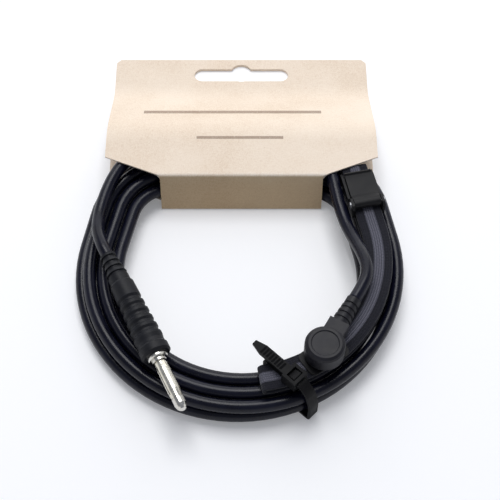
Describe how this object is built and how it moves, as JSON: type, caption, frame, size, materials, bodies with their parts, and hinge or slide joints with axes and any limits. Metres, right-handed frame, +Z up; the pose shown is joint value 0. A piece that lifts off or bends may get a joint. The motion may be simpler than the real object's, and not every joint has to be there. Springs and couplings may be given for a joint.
{
  "type": "grounding wrist strap",
  "caption": "Static-safe wrist strap as packed: coiled ground cord with banana plug and snap end, elastic band with clasp, cable tie and folded hang card.",
  "frame": {"origin": "centre of the underside of the card's back panel, on the surface that the pack lies on", "axes": "+X to the right across the card, +Y from the coil towards the hang slot, +Z up out of the face that lies on the surface"},
  "size_m": [0.1022, 0.1421, 0.021],
  "materials": {
    "kraft_card": "uncoated kraft board, folded and glued, bare",
    "cord_jacket": "smooth satin black PVC jacket",
    "plug_moulding": "fine-grained black moulding",
    "plug_metal": "nickel-plated brass, lightly satin",
    "contact_metal": "nickel-plated spring bronze",
    "snap_moulding": "satin black moulding",
    "snap_metal": "nickel-plated pressing",
    "spring_wire": "drawn spring wire",
    "resistor_body": "tan lacquered resistor body, bare",
    "elastic": "woven elastic with conductive threads",
    "clasp_steel": "satin stainless sheet",
    "clasp_coated": "satin black coated steel sheet",
    "tie_nylon": "black nylon"
  },
  "bodies": {
    "strap_pack": {"hang_card": "kraft_card", "cord_coil": "cord_jacket", "cord_tail_plug": "cord_jacket", "cord_tail_snap": "cord_jacket", "plug_grip": "plug_moulding", "plug_strain_relief": "plug_moulding", "plug_pin": "plug_metal", "wrist_band": "elastic", "contact_plate": "clasp_steel", "snap_plate": "clasp_coated", "snap_stud": "snap_metal", "clasp_frame": "clasp_coated", "clasp_pin": "clasp_steel", "cable_tie": "tie_nylon"},
    "clasp_lever": {"clasp_lever": "clasp_coated"},
    "contact_sleeve": {"plug_contact_sleeve": "contact_metal"},
    "tie_pawl": {"cable_tie_pawl": "tie_nylon"},
    "snap_connector": {"snap_housing": "snap_moulding", "snap_cap": "snap_moulding", "snap_socket": "snap_metal", "snap_ring_spring": "spring_wire", "snap_resistor": "resistor_body", "snap_strain_relief": "snap_moulding"}
  },
  "joints": [
    {"name": "clasp_hinge", "type": "hinge", "parent": "strap_pack", "child": "clasp_lever", "pos_m": [0.03971, -0.0391, 0.01497], "axis": [0.9781, 0.2079, 0], "range_deg": [0, 105]},
    {"name": "sleeve_spin", "type": "hinge", "parent": "strap_pack", "child": "contact_sleeve", "pos_m": [-0.0211, -0.10061, 0.01427], "axis": [0.4305, -0.9026, 0], "continuous": true},
    {"name": "pawl_flex", "type": "hinge", "parent": "strap_pack", "child": "tie_pawl", "pos_m": [0.01595, -0.10094, 0.01717], "axis": [0.6947, 0.7193, 0], "range_deg": [0, 8], "stiffness_Nm_per_rad": 0.002},
    {"name": "snap_swivel", "type": "hinge", "parent": "strap_pack", "child": "snap_connector", "pos_m": [0.02416, -0.09197, 0.01462], "axis": [0, 0, 1], "range_deg": [-15, 15]}
  ]
}
